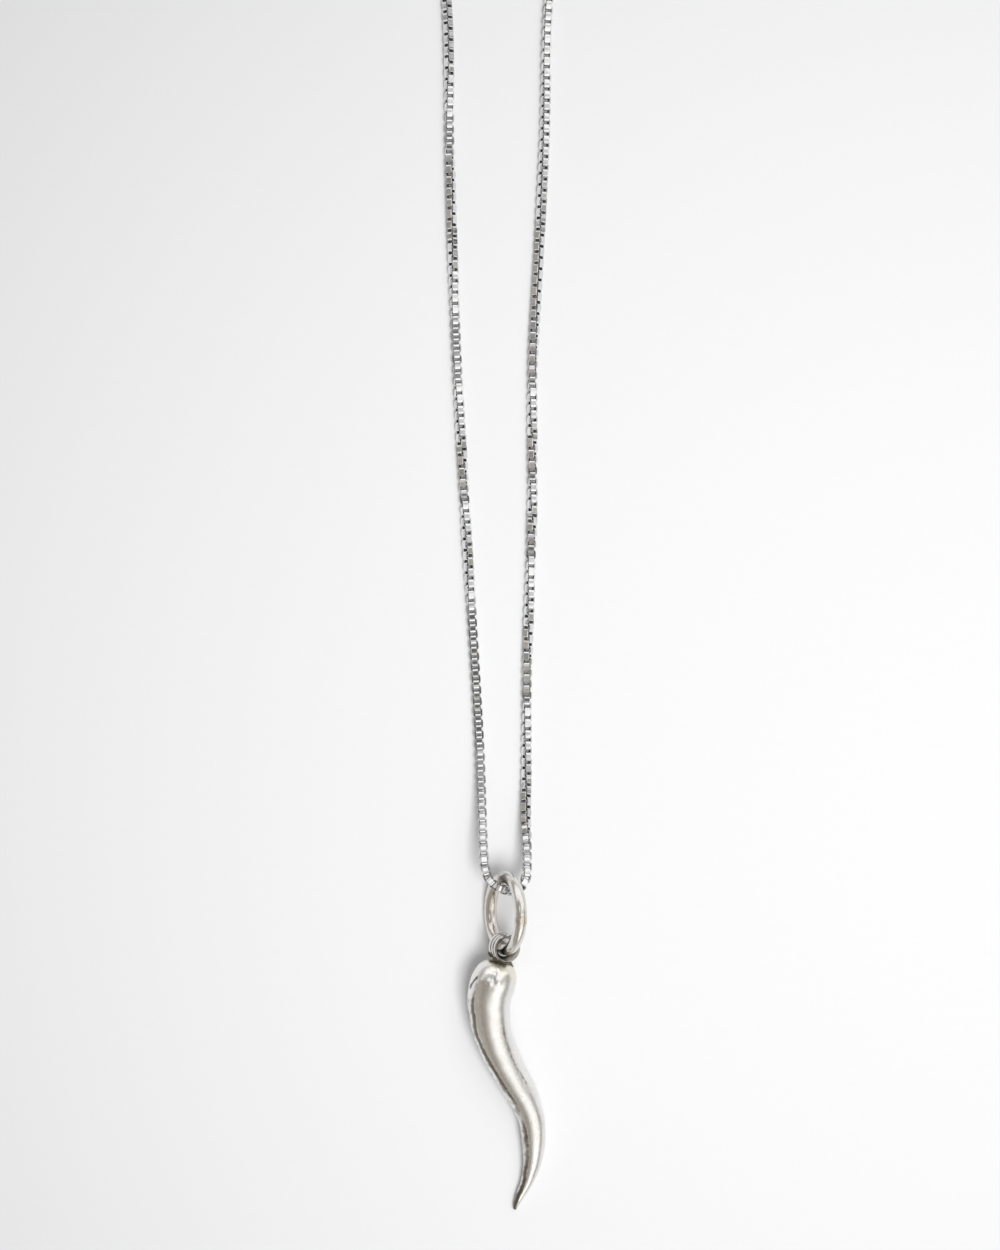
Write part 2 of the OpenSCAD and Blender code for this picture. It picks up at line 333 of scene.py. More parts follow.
# How far the chain is turned about its own line, in degrees, along each strand: y, turn
LEFT_TURNS = [
    (119.5, 0), (90, 30), (60, 80), (30, 60), (7.5, 45), (1, 42), (-1.7, 20), (-4.4, 8), (-7.9, 0),
    (-10.3, -18), (-14.1, -28), (-16.8, -42), (-20, -48), (-22.2, -65), (-24.4, -80), (-28.1, -90),
    (-33.5, -88), (-35.7, -76), (-38.9, -66), (-40.6, -50), (-42.2, -30), (-44.3, -12), (-46.5, 0),
    (-48.1, 14), (-50.3, 30), (-52.4, 40), (-54.6, 24), (-56.8, 8), (-59.5, -2), (-68.1, -2), (-72.2, 2),
    (-73.5, 6), (-75.7, 0), (-90, 0),
]
RIGHT_TURNS = [
    (119.5, 0), (90, -40), (60, -10), (30, 25), (7.5, 8), (1, 10), (-4.4, 20), (-10.9, 27), (-15.2, 36),
    (-17.9, 46), (-24.9, 54), (-28.1, 70), (-32.5, 80), (-34.1, 90), (-35.7, 104), (-37.9, 112),
    (-39.2, 125), (-40.6, 150), (-42.2, 165), (-43.8, 180), (-45.4, 196), (-47, 206), (-48.3, 225),
    (-49.7, 250), (-52.1, 270), (-55.1, 284), (-58.4, 298), (-60, 315), (-61.6, 326), (-64.3, 350),
    (-67, 352), (-69.7, 370), (-73, 382), (-76.2, 396), (-78.9, 410), (-81.1, 418), (-82.5, 435),
    (-84.3, 448), (-86.5, 457), (-90, 457),
]

# The clasp, as in the CAD
CLASP_D = 6
CLASP_WIRE = 1.2
CLASP_TURNS = 240
CLASP_SIDES = 48
CLASP_UNEVEN = (0.008, 1.4, 2.2)
# The knob: width, height, angle round the ring, rounding of its top, how deep it is sunk in the tube, and its
# neck: the share of its radius at each height above the tube
KNOB_D = 0.8
KNOB_H = 0.6
KNOB_TURN = 55
KNOB_ROUND = 0.16
KNOB_STEPS = 6
KNOB_SUNK = 0.3
KNOB_NECK = [(0.7, 0.12), (0.98, 0.22), (1, 0.3)]
# The gate: its ends in degrees round the ring and how soft they are, how thick the tube is and how much
# thinner the gate is, as shares of the wire, and the lip at each end: how far off, how wide and how high
GATE_FROM = 66
GATE_TO = 128
GATE_SOFT = 1.2
TUBE_THICK = 0.94
GATE_THIN = 0.22
LIP_OFF = 3.5
LIP_WIDE = 1.6
LIP_HIGH = 0.06
# The barrels at the chain's ends: shares of their radius and places along them, at their start, at each
# groove, counted from their end, and at their end
END_GAP = 0.1
BARREL_FROM = 0.2
BARREL_START = [(0.6, 0), (0.8, 0.25), (0.97, 0.45)]
BARREL_GROOVES = (-0.75, -0.4)
GROOVE_FORM = [(1, -0.08), (0.9, -0.04), (0.86, 0), (0.9, 0.04), (1, 0.08)]
BARREL_END = [(1, -0.08), (0.96, -0.03), (0.86, 0), (0.74, 0), (0.7, -0.06)]
LATHE_SIDES = 64

# Silver's noises: how fine, how many octaves and how rough. Scratches are stretched in x, y and z and turned
# about z.
CLOUDS = (500, 4, 0.6)
BLOTCHES = (1700, 4, 0.6)
PITS = (5200, 2, 0.5)
SPECKS = (9000, 2, 0.6)
LONG_SCRATCHES = (1, 3, 0.7)
LONG_STRETCH = (14000, 700, 14000)
LONG_TURN = 0.2
CROSS_SCRATCHES = (1, 2, 0.6)
CROSS_STRETCH = (900, 15000, 12000)
CROSS_TURN = -0.5
# What they do: each is a ramp from a value of its noise to its strength there
WORN = [(0.35, 0.0), (0.7, 1.0)]
STAINED = [(0.35, 0.3), (0.6, 1.0)]
PATINA_AND_SHADE_RAMP = [(0.25, 0.0), (0.85, 1.0)]
SPECKED = [(0.61, 0.0), (0.72, 0.6)]
PITTED = [(0.24, 0.0), (0.32, 1.0)]
# How much the blotches break up the patina and painted shade, how much rougher the silver is where they lie,
# the noise where silver is polished and where it is scuffed, how deep pits and specks are beside the
# scratches, and the shares of the long scratches beside the others and of the clouds beside them all
BLOTCHY = 0.8
PATINA_AND_SHADE_ROUGH = 0.25
POLISHED_AT = 0.35
SCUFFED_AT = 0.68
PIT_SHARE = 0.8
SPECK_SHARE = 0.5
LONG_SHARE = 0.6
CLOUD_SHARE = 0.6
SILVER_BUMP = 0.6
BROWN = (0.55, 0.42, 0.31)


def add_object(name, data):
    """A new object in the scene."""
    obj = bpy.data.objects.new(name, data)
    bpy.context.scene.collection.objects.link(obj)
    return obj


def add_camera():
    """Looks straight down on the middle of the photo's frame."""
    data = bpy.data.cameras.new("camera")
    data.sensor_width = SENSOR
    data.lens = SENSOR * CAMERA_RISE / PHOTO_HEIGHT
    camera = add_object("camera", data)
    camera.location = (PHOTO_CENTRE[0] * MM, PHOTO_CENTRE[1] * MM, CAMERA_RISE * MM)
    bpy.context.scene.camera = camera


add_camera()


def smooth_curve(points, steps, first, last):
    """Goes through points at uneven gaps: the slope at a point leans towards its nearer neighbour."""
    gaps = [(b - a).length for a, b in zip(points, points[1:])]
    slopes = [first]
    for i in range(1, len(points) - 1):
        a, b = gaps[i - 1], gaps[i]
        slopes.append((b / a * (points[i] - points[i - 1]) + a / b * (points[i + 1] - points[i])) / (a + b))
    slopes.append(last)
    out = []
    for i, gap in enumerate(gaps):
        for k in range(steps):
            t = k / steps
            out.append(
                (2 * t ** 3 - 3 * t ** 2 + 1) * points[i] + (t ** 3 - 2 * t ** 2 + t) * gap * slopes[i]
                + (3 * t ** 2 - 2 * t ** 3) * points[i + 1] + (t ** 3 - t ** 2) * gap * slopes[i + 1]
            )
    out.append(points[-1])
    return out


def look_up(table, x):
    """Value of a table of (place, value) at x, on a straight line between its rows. Places go down or up."""
    rows = sorted(table)
    if x <= rows[0][0]:
        return rows[0][1]
    for (x0, v0), (x1, v1) in zip(rows, rows[1:]):
        if x <= x1:
            return v0 + (v1 - v0) * ((x - x0) / (x1 - x0))
    return rows[-1][1]


def unit(x):
    """x kept between 0 and 1."""
    return max(0.0, min(1.0, x))


def wobble(point, fine, seed):
    """Smooth noise from -1 to 1 at a place."""
    return noise.noise(Vector([p * fine + seed * shift for p, shift in zip(point, NOISE_SHIFT)]))


def uneven(point, height, fine, seed):
    """Smooth noise of a height, up or down, at a place."""
    return height * wobble(point, fine, seed)


def mottle(point, share, fine, seed):
    """A factor near 1 that varies smoothly from place to place, by up to a share."""
    return 1 + share * wobble(point, fine, seed)


def off_spot(point, x, y, wide, long):
    """How far a point is from a spot on the horn, in the spot's own reaches, squared."""
    return ((point.x - x) / wide) ** 2 + ((point.y - y) / long) ** 2


def from_angle(a, other):
    """The angle from other to a, between half a turn back and half a turn on."""
    return (a - other + math.pi) % math.tau - math.pi


def round_out(a):
    """The direction at an angle in the plane of a ring."""
    return Vector((math.cos(a), math.sin(a), 0))


class Shell:
    """Collects vertices in millimetres, faces, and two numbers for each vertex: how dark it is, from patina
    and from painted shade, and how brown. Then it makes a piece of them."""

    def __init__(self):
        self.points = []
        self.faces = []
        self.marks = {"shade_and_patina": [], "tint": []}

    def add(self, point):
        self.points.append(Vector(point))
        for values in self.marks.values():
            values.append(0.0)
        return len(self.points) - 1

    def sweep(self, rings, loop=False):
        """Skins over rings of points. A loop joins its last ring to its first, and any other end gets a pole.
        The skin faces outwards whichever way the rings run."""
        first = len(self.points)
        first_face = len(self.faces)
        count = len(rings[0])
        for ring in rings:
            for point in ring:
                self.add(point)
        turns = len(rings) if loop else len(rings) - 1
        for i in range(turns):
            a = first + i * count
            b = first + (i + 1) % len(rings) * count
            for k in range(count):
                m = (k + 1) % count
                self.faces.append((a + k, a + m, b + m, b + k))
        if not loop:
            last = first + (len(rings) - 1) * count
            for ring, start, flip in ((rings[0], first, True), (rings[-1], last, False)):
                pole = self.add(sum(ring, Vector()) / count)
                for k in range(count):
                    m = (k + 1) % count
                    self.faces.append((start + m, start + k, pole) if flip else (start + k, start + m, pole))
        skin = self.faces[first_face:]
        origin = self.points[first]
        volume = 0.0
        for face in skin:
            corners = [self.points[k] - origin for k in face]
            for b, c in zip(corners[1:], corners[2:]):
                volume += corners[0].dot(b.cross(c))
        if volume < 0:
            self.faces[first_face:] = [tuple(reversed(face)) for face in skin]

    def piece(self, name, material, slot, *nodes, change=Matrix(), crisp=math.pi):
        """Makes the piece, which stands for CAD nodes and rides on the one body. Edges that turn by more than
        crisp stay sharp."""
        mesh = bpy.data.meshes.new(name)
        mesh.from_pydata([change @ p * MM for p in self.points], [], self.faces)
        for mark, values in self.marks.items():
            layer = mesh.attributes.new(mark, "FLOAT", "POINT")
            layer.data.foreach_set("value", values)
        mesh.shade_smooth()
        mesh.set_sharp_from_angle(angle=crisp)
        mesh.materials.append(material)
        mesh.validate()
        obj = add_object(name, mesh)
        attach(obj, "root")
        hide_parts(*nodes)


# The route and the places that hang from it, worked out as in the CAD
route_points = [Vector((x, y, z + CHAIN_W / 2)) for x, y, z in ROUTE]
end_heading = Vector((-1, 0, 0))
lean = math.radians(RING_LEAN)
tilt = math.radians(HORN_TILT)
ring_r = (RING_D - RING_WIRE) / 2
ring_z = RING_WIRE / 2 + ring_r * math.sin(lean)
cross_r = ring_r - RING_WIRE / 2 - CHAIN_ROOM - CHAIN_W / 2
cross_point = route_points[CROSSING]
cross_angle = math.asin((cross_point.z - ring_z) / (cross_r * math.sin(lean)))
ring_x = cross_point.x - cross_r * math.sin(cross_angle) * math.cos(lean)
ring_y = cross_point.y - cross_r * math.cos(cross_angle)
horn_start = HORN_TABLE[0][1]
horn_rows = [Vector(((c - horn_start) * HORN_SWAY, -a * HORN_LEN, g * HORN_D / 2)) for a, c, g in HORN_TABLE]
horn_sections = smooth_curve(horn_rows, HORN_STEPS, Vector((0, 0, 1)), Vector((0, 0, -1)))
horn_z = max(s.z * math.cos(tilt) - s.y * math.sin(tilt) for s in horn_sections)
eye_r = (RING_WIRE + EYE_PLAY + EYE_WALL) / 2
eye_reach = eye_r + EYE_WALL / 2 - EYE_SEAT
wire_reach = eye_reach - EYE_PLAY / 2 + EYE_REST
wire_z = horn_z + wire_reach * math.sin(tilt)
pass_angle = math.asin((ring_z - wire_z) / (ring_r * math.sin(lean)))
horn_x = ring_x - ring_r * math.sin(pass_angle) * math.cos(lean)
horn_y = ring_y - ring_r * math.cos(pass_angle) - wire_reach * math.cos(tilt)
horn_place = Matrix.Translation((horn_x, horn_y, horn_z)) @ Matrix.Rotation(tilt, 4, "X")
ring_place = Matrix.Translation((ring_x, ring_y, ring_z)) @ Matrix.Rotation(-lean, 4, "Y")


class Nodes:
    """Short words for building a node tree."""

    def __init__(self, tree):
        self.tree = tree
        tree.nodes.clear()

    def new(self, kind, **settings):
        node = self.tree.nodes.new(kind)
        for key, value in settings.items():
            setattr(node, key, value)
        return node

    def join(self, source, target):
        self.tree.links.new(source, target)

    def fill(self, socket, value):
        if isinstance(value, bpy.types.NodeSocket):
            self.join(value, socket)
        else:
            socket.default_value = value

    def fill_all(self, node, values):
        """Fills inputs by name, each with a value or from another node."""
        for name, value in values.items():
            self.fill(node.inputs[name], value)

    def maths(self, operation, *values, clamp=False):
        node = self.new("ShaderNodeMath", operation=operation, use_clamp=clamp)
        for socket, value in zip(node.inputs, values):
            self.fill(socket, value)
        return node.outputs[0]

    def blend(self, first, second, share):
        """A share of the first value and the rest of the second, added up."""
        first = self.maths("MULTIPLY", first, share)
        return self.maths("ADD", first, self.maths("MULTIPLY", second, 1 - share))

    def ramp(self, factor, stops, easing="LINEAR"):
        node = self.new("ShaderNodeValToRGB")
        node.color_ramp.interpolation = easing
        elements = node.color_ramp.elements
        while len(elements) < len(stops):
            elements.new(0.5)
        for element, (place, colour) in zip(elements, stops):
            element.position = place
            if isinstance(colour, (int, float)):
                colour = (colour, colour, colour)
            element.color = (*colour, 1)
        self.fill(node.inputs["Fac"], factor)
        return node.outputs["Color"]

    def mix(self, factor, first, second, blend="MIX"):
        node = self.new("ShaderNodeMix", data_type="RGBA", blend_type=blend)
        self.fill(node.inputs["Factor"], factor)
        self.fill(node.inputs["A"], first if isinstance(first, bpy.types.NodeSocket) else (*first, 1))
        self.fill(node.inputs["B"], second if isinstance(second, bpy.types.NodeSocket) else (*second, 1))
        return [s for s in node.outputs if s.type == "RGBA"][0]

    def noise(self, vector, scale, detail, roughness):
        node = self.new("ShaderNodeTexNoise")
        self.fill_all(node, {"Vector": vector, "Scale": scale, "Detail": detail, "Roughness": roughness})
        return node.outputs["Fac"]

    def stretch(self, vector, scale, turn):
        node = self.new("ShaderNodeMapping")
        self.fill_all(node, {"Vector": vector, "Scale": scale, "Rotation": (0, 0, turn)})
        return node.outputs["Vector"]

    def bump(self, strength, distance, height):
        """A bump of a depth in millimetres."""
        node = self.new("ShaderNodeBump")
        self.fill_all(node, {"Strength": strength, "Distance": distance * MM, "Height": height})
        return node.outputs["Normal"]


def silver(name, clean, worn, patina_and_shade_colour, polish, scuffed, scratch_depth, brown=BROWN):
    """Polished silver: cloudy colour, scratches and specks, and, where the vertices say, patina, painted
    shade and brown.
    """
    material = bpy.data.materials.new(name)
    material.use_nodes = True
    n = Nodes(material.node_tree)
    place = n.new("ShaderNodeTexCoord").outputs["Object"]
    shade_and_patina = n.new("ShaderNodeAttribute", attribute_name="shade_and_patina").outputs["Fac"]
    tint = n.new("ShaderNodeAttribute", attribute_name="tint").outputs["Fac"]
    clouds = n.noise(place, *CLOUDS)
    blotches = n.noise(place, *BLOTCHES)
    long_scratches = n.noise(n.stretch(place, LONG_STRETCH, LONG_TURN), *LONG_SCRATCHES)
    cross_scratches = n.noise(n.stretch(place, CROSS_STRETCH, CROSS_TURN), *CROSS_SCRATCHES)
    pits = n.noise(place, *PITS)
    specks = n.noise(place, *SPECKS)
    colour = n.mix(n.ramp(clouds, WORN), clean, worn)
    colour = n.mix(n.maths("MULTIPLY", tint, n.ramp(blotches, STAINED)), colour, brown)
    # The vertices' dark mark: patina, plus painted shade and painted dark reflections where the builders set
    # them
    patina_and_shade_level = n.maths("ADD", shade_and_patina, n.maths("MULTIPLY", n.maths("SUBTRACT", blotches, 0.5), BLOTCHY))
    patina_and_shade_share = n.ramp(patina_and_shade_level, PATINA_AND_SHADE_RAMP, "EASE")
    colour = n.mix(patina_and_shade_share, colour, patina_and_shade_colour)
    colour = n.mix(n.ramp(specks, SPECKED), colour, patina_and_shade_colour)
    scratches = n.blend(long_scratches, cross_scratches, LONG_SHARE)
    rough = n.new("ShaderNodeMapRange")
    n.fill_all(rough, {
        "Value": n.blend(clouds, scratches, CLOUD_SHARE), "From Min": POLISHED_AT, "From Max": SCUFFED_AT,
        "To Min": polish, "To Max": scuffed,
    })
    roughness = n.maths("ADD", rough.outputs["Result"], n.maths("MULTIPLY", patina_and_shade_share, PATINA_AND_SHADE_ROUGH), clamp=True)
    height = n.maths("ADD", scratches, n.maths("MULTIPLY", n.ramp(pits, PITTED), PIT_SHARE))
    height = n.maths("ADD", height, n.maths("MULTIPLY", specks, SPECK_SHARE))
    shader = n.new("ShaderNodeBsdfPrincipled")
    n.fill_all(shader, {
        "Metallic": 1, "Base Color": colour, "Roughness": roughness,
        "Normal": n.bump(SILVER_BUMP, scratch_depth, height),
    })
    n.join(shader.outputs["BSDF"], n.new("ShaderNodeOutputMaterial").inputs["Surface"])
    return material


horn_silver = silver(
    "horn_silver", clean=(0.83, 0.82, 0.81), worn=(0.78, 0.765, 0.745), patina_and_shade_colour=(0.19, 0.17, 0.135),
    polish=0.03, scuffed=0.1, scratch_depth=0.035, brown=(0.80, 0.76, 0.62))
solder_silver = silver(
    "solder_silver", clean=(0.50, 0.47, 0.39), worn=(0.40, 0.37, 0.29), patina_and_shade_colour=(0.13, 0.12, 0.085),
    polish=0.16, scuffed=0.34, scratch_depth=0.02)
eye_silver = silver(
    "eye_silver", clean=(0.80, 0.79, 0.77), worn=(0.72, 0.70, 0.67), patina_and_shade_colour=(0.14, 0.13, 0.11),
    polish=0.05, scuffed=0.16, scratch_depth=0.02)
ring_silver = silver(
    "ring_silver", clean=(0.78, 0.77, 0.74), worn=(0.66, 0.64, 0.60), patina_and_shade_colour=(0.2, 0.17, 0.125),
    polish=0.1, scuffed=0.22, scratch_depth=0.012, brown=(0.60, 0.51, 0.42))
chain_silver = silver(
    "chain_silver", clean=(0.80, 0.805, 0.812), worn=(0.71, 0.715, 0.72), patina_and_shade_colour=(0.10, 0.10, 0.10),
    polish=0.04, scuffed=0.1, scratch_depth=0.003)
clasp_silver = silver(
    "clasp_silver", clean=(0.83, 0.82, 0.81), worn=(0.76, 0.75, 0.73), patina_and_shade_colour=(0.18, 0.17, 0.15),
    polish=0.08, scuffed=0.2, scratch_depth=0.004)


def build_horn():
    """The cast horn, with its dented cap, shallow waves and small dings."""
    shell = Shell()
    sections = [horn_sections[0]]
    for s in horn_sections[1:-1]:
        if (s - sections[-1]).length >= HORN_SPACING:
            sections.append(s)
    sections.append(horn_sections[-1])
    axis = [Vector((s.x, s.y, 0)) for s in sections]
    dings = []
    for _ in range(DING_COUNT):
        share, angle = rng.uniform(*DING_PLACE), rng.uniform(0, math.tau)
        dings.append((share, angle, rng.uniform(*DING_SIZE), rng.uniform(*DING_DEPTH)))
    dents = list(HORN_DENTS)
    dark_spots = list(HORN_DARK_SPOTS)
    for (x0, y0), (x1, y1) in zip(BURR, BURR[1:]):
        for k in range(BURR_STEPS):
            t = k / BURR_STEPS
            x, y = x0 + (x1 - x0) * t, y0 + (y1 - y0) * t
            dents.append((x, y, BURR_WIDE, BURR_WIDE, -BURR_HIGH / 2))
            # Painted shade beside the burr
            dark_spots.append((x + BURR_WIDE, y - BURR_WIDE / 2, BURR_WIDE, BURR_WIDE, BURR_DARK))
    dark_reflections = []
    for table, side in ((DARK_REFLECTION_LEFT, 1), (DARK_REFLECTION_RIGHT, -1)):
        angles = [(y, angle) for y, angle, _ in table]
        darks = [(y, dark) for y, _, dark in table]
        dark_reflections.append((angles, darks, side, LIMB_DARK if side > 0 else 0))
    last = len(axis) - 1
    rings = []
    marks = []
    tints = []
    for i, centre in enumerate(axis):
        heading = (axis[min(i + 1, last)] - axis[max(i - 1, 0)]).normalized()
        across = Vector((heading.y, -heading.x, 0))
        r = sections[i].z
        near = [d for d in dings if abs(d[0] * HORN_LEN + centre.y) < DING_NEAR]
        lines = []
        for angles, darks, side, limb in dark_reflections:
            angle = math.pi / 2 - side * math.radians(look_up(angles, centre.y))
            lines.append((angle, look_up(darks, centre.y), limb))
        limb_share = unit(LIMB_FROM - centre.y)
        ring = []
        for k in range(HORN_SIDES):
            a = math.tau * k / HORN_SIDES
            out = math.cos(a) * across + math.sin(a) * UP
            point = centre + out * r
            push = sum(uneven(point, WAVINESS * share, fine, seed) for share, fine, seed in WAVES)
            push *= min(1.0, r)
            upper = out.z > UPPER_FROM
            if upper:
                for x, y, wide, long, deep in dents:
                    fall = off_spot(point, x, y, wide, long)
                    if fall < FAINT:
                        push -= deep * math.exp(-fall) * unit((out.z - UPPER_FROM) * UPPER_RISE)
            for share, angle, size, deep in near:
                turn = from_angle(a, angle)
                fall = ((share * HORN_LEN + centre.y) / size) ** 2 + (turn * r / size) ** 2
                if fall < FAINT:
                    push -= deep * math.exp(-fall)
            ring.append(point + out * push)
            # Round the eye: patina and painted shade; underneath: painted shade; towards the tip: darker
            mark = CAP_DARK * max(0.0, 1 + centre.y / CAP_DARK_REACH) + UNDER_SHADE * max(0.0, -out.z)
            if centre.y < TIP_FROM:
                mark += TIP_DARK * (TIP_FROM - centre.y) / (HORN_LEN + TIP_FROM)
            # Painted dark reflections along the sides, and a painted dark reflection on the left side beyond
            # its line
            for angle, dark, limb in lines:
                beneath = from_angle(angle, a)
                if limb and beneath > 0:
                    mark += limb * limb_share * unit(beneath * r / LIMB_SOFT) * mottle(point, *LIMB_MOTTLE)
                spread = (a - angle) * r / (DARK_REFLECTION_WIDE * (DARK_REFLECTION_THIN + (1 - DARK_REFLECTION_THIN) * min(1.0, r)))
                if spread ** 2 < FAINT:
                    mark += dark * DARK_REFLECTION_STRENGTH * mottle(point, *DARK_REFLECTION_MOTTLE) * math.exp(-spread ** 2)
            # Painted shade: dark spots on the cap and beside the burr
            if upper:
                for x, y, wide, long, dark in dark_spots:
                    fall = off_spot(point, x, y, wide, long)
                    if fall < FAINT:
                        mark += dark * math.exp(-fall) * mottle(point, *DARK_SPOT_MOTTLE)
            marks.append(mark)
            tints.append(unit(CAP_TINTED + centre.y / CAP_TINT))
        rings.append(ring)
    shell.sweep(rings)
    shell.marks["shade_and_patina"][:len(marks)] = marks
    shell.marks["tint"][:len(tints)] = tints
    shell.piece("horn_body", horn_silver, "horn_silver", "horn", change=horn_place)


def build_eye():
    """The eye's band, with fine beads turned round its outside."""
    shell = Shell()
    profile = []  # radius, height, how dark, how much darker at the left
    half = EYE_WIDTH / 2
    outer = eye_r + EYE_WALL / 2
    inner = eye_r - EYE_WALL / 2
    bead_w = EYE_WIDTH / EYE_BEADS
    for bead in range(EYE_BEADS):
        for k in range(BEAD_STEPS):
            t = k / BEAD_STEPS
            sag = 1 - math.sin(math.pi * t)
            dark = BEAD_DARK + GROOVE_DARK * sag ** GROOVE_SHARP
            profile.append((outer - BEAD_DEPTH * sag ** BEAD_SHARP, -half + (bead + t) * bead_w, dark, 0))
    profile.append((outer - BEAD_DEPTH, half, RIM_SHADE, 0))
    edge = outer - BEAD_DEPTH - EYE_RIM
    for k in range(EYE_STEPS + 1):
        z = half * math.cos(math.pi * k / EYE_STEPS)
        share = abs(z) / half
        rib = RIB_HIGH * math.cos(share * RIB_CLOSE) * share
        profile.append((inner + (edge - inner) * share ** EYE_FLARE + rib, z, *EYE_INSIDE_SHADE))
    rings = []
    marks = []
    for i in range(EYE_TURNS):
        out = round_out(math.tau * i / EYE_TURNS)
        ring = []
        # Painted shade inside the eye, deeper at its left, and on its rim
        for r, z, mark, shade_leftward in profile:
            point = out * r + Vector((0, 0, z))
            ring.append(point + out * uneven(point, *EYE_UNEVEN))
            marks.append(mark + shade_leftward * (1 - out.x) / 2 + uneven(point, *EYE_MOTTLE))
        rings.append(ring)
    shell.sweep(rings, loop=True)
    shell.marks["shade_and_patina"] = marks
    turn = Matrix.Rotation(math.radians(EYE_TURN), 4, "Y")
    place = horn_place @ Matrix.Translation((0, eye_reach, 0)) @ turn
    shell.piece("horn_eye", eye_silver, "horn_silver", "horn", change=place)


def build_solder():
    """The lumpy collar of solder that joins the eye to the cap, and the splashes beside it."""
    shell = Shell()
    rings = []
    for i in range(SOLDER_TURNS + 1):
        t = i / SOLDER_TURNS
        y = -SOLDER_DOWN + (SOLDER_DOWN + SOLDER_UP) * t
        size = SOLDER_NARROW + (1 - SOLDER_NARROW) * (1 - t) ** SOLDER_TAPER
        size *= math.sqrt(max(0.0, 1 - (max(0.0, t - SOLDER_ROUND) / (1 - SOLDER_ROUND)) ** 2))
        ring = []
        for k in range(SOLDER_SIDES):
            a = math.tau * k / SOLDER_SIDES
            out = Vector((math.cos(a), SOLDER_LEAN, math.sin(a)))
            point = Vector((SOLDER_X + SOLDER_WIDE * size * math.cos(a), y, SOLDER_HIGH * size * math.sin(a)))
            ring.append(point + out * sum(uneven(point, *lump) for lump in SOLDER_LUMPS) * size)
        rings.append(ring)
    shell.sweep(rings)
    # Patina, with painted shade where the collar sits between the eye and the cap
    marks = [SOLDER_DARK] * (len(rings) * SOLDER_SIDES)
    for middle, reach in RESIDUES:
        rings = []
        for i in range(1, RESIDUE_STEPS):
            a = math.pi * i / RESIDUE_STEPS
            ring = []
            for k in range(RESIDUE_SIDES):
                b = math.tau * k / RESIDUE_SIDES
                out = Vector((math.sin(a) * math.cos(b), math.cos(a), math.sin(a) * math.sin(b)))
                point = Vector(middle) + Vector([o * r for o, r in zip(out, reach)])
                ring.append(point + out * uneven(point, *RESIDUE_UNEVEN))
            rings.append(ring)
        shell.sweep(rings)
    marks += [RESIDUE_DARK] * (len(shell.points) - len(marks))
    shell.marks["shade_and_patina"] = marks
    shell.piece("horn_solder", solder_silver, "horn_silver", "horn", change=horn_place)


def build_ring():
    """The closed jump ring, drawn fine along its wire, with its soldered joint in the right limb."""
    shell = Shell()
    joint = math.radians(RING_JOINT)
    in_eye = math.radians(RING_EYE_AT)
    by_chain = math.radians(RING_CHAIN_AT)
    rings = []
    marks = []
    tints = []
    streak, streak_round, streak_along, streak_seed = RING_STREAKS
    line_off, line_wide, line_deep = JOINT_LINE
    for i in range(RING_TURNS):
        a = math.tau * i / RING_TURNS
        out = round_out(a)
        off = abs(from_angle(a, joint)) * ring_r
        lumpy = math.exp(-(off / JOINT_WIDE) ** 2)
        line = line_deep * math.exp(-((off - line_off) / line_wide) ** 2)
        # Painted shade where the ring passes through the eye and where the chain crosses it
        spread = abs(a - in_eye) * ring_r / RING_EYE_WIDE
        hidden = RING_EYE_DARK * math.exp(-spread ** RING_GRIME_POWER)
        spread = abs(a - by_chain) * ring_r / RING_CHAIN_WIDE
        crossing_shade = RING_CHAIN_DARK * math.exp(-spread ** RING_GRIME_POWER)
        ring = []
        for k in range(RING_SIDES):
            b = math.tau * k / RING_SIDES
            side = math.cos(b) * out + math.sin(b) * UP
            point = out * ring_r + side * RING_WIRE / 2
            streaky = streak * noise.noise(Vector((b * streak_round, a * streak_along, streak_seed)))
            push = uneven(point, *RING_UNEVEN) + streaky + lumpy * uneven(point, *JOINT_UNEVEN) - line
            ring.append(out * ring_r + side * (RING_WIRE / 2 - RING_WORN + push))
            # Painted shade on the side of the wire that faces the ring's middle
            inside = RING_INNER_DARK * max(0.0, -math.cos(b) - RING_INNER_FROM)
            beside = crossing_shade * unit(RING_CHAIN_SIDES - RING_CHAIN_INSIDE * math.cos(b))
            marks.append(JOINT_DARK * lumpy + inside + hidden + beside)
            tints.append(min(1.0, JOINT_TINT * lumpy + RING_LEFT_TINT * max(0.0, -math.cos(a))))
        rings.append(ring)
    shell.sweep(rings, loop=True)
    shell.marks["shade_and_patina"] = marks
    shell.marks["tint"] = tints
    shell.piece("jump_ring_silver", ring_silver, "ring_silver", "jump_ring", change=ring_place)


